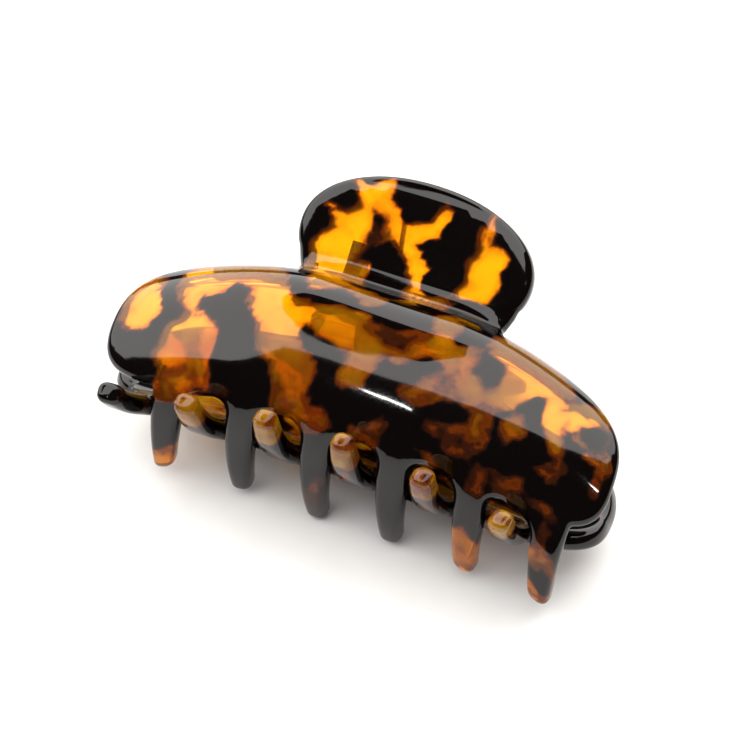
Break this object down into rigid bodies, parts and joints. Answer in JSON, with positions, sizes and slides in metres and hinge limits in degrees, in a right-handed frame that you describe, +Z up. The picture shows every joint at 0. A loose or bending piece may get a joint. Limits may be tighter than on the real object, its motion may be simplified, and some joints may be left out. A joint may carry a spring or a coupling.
{
  "type": "hair claw clip",
  "caption": "Spring-loaded hair claw clip in tortoiseshell acetate: curved toothed jaws hinged on a steel pin, each with a wide oval thumb handle.",
  "frame": {"origin": "bottom centre of the bounding box of the closed clip as it lies on a table on its rear jaw", "axes": "+X along the hinge pin and the length of the clip, +Y from the tooth tips towards the thumb handles, +Z up from the table, front jaw on top"},
  "size_m": [0.0992, 0.0624, 0.0466],
  "materials": {
    "acetate_front_jaw": "polished tortoiseshell: translucent amber with dark brown blotches",
    "acetate_rear_jaw": "polished tortoiseshell: translucent amber with dark brown blotches",
    "acetate_lug": "plain translucent amber acetate, glued on, lightly polished",
    "steel_pin": "bright drawn steel rod with domed ends",
    "steel_spring": "bare round spring wire"
  },
  "bodies": {
    "rear_half": {"rear_jaw": "acetate_rear_jaw", "rear_lug_left": "acetate_lug", "rear_lug_right": "acetate_lug", "hinge_pin": "steel_pin", "torsion_spring": "steel_spring"},
    "front_half": {"front_jaw": "acetate_front_jaw", "front_lug_left": "acetate_lug", "front_lug_right": "acetate_lug"}
  },
  "joints": [
    {"name": "jaw_hinge", "type": "hinge", "parent": "rear_half", "child": "front_half", "pos_m": [0, 0.01138, 0.02101], "axis": [-1, 0, 0], "range_deg": [0, 50], "stiffness_Nm_per_rad": 0.1, "springref_deg": -60.16, "deforming": ["torsion_spring"]}
  ]
}
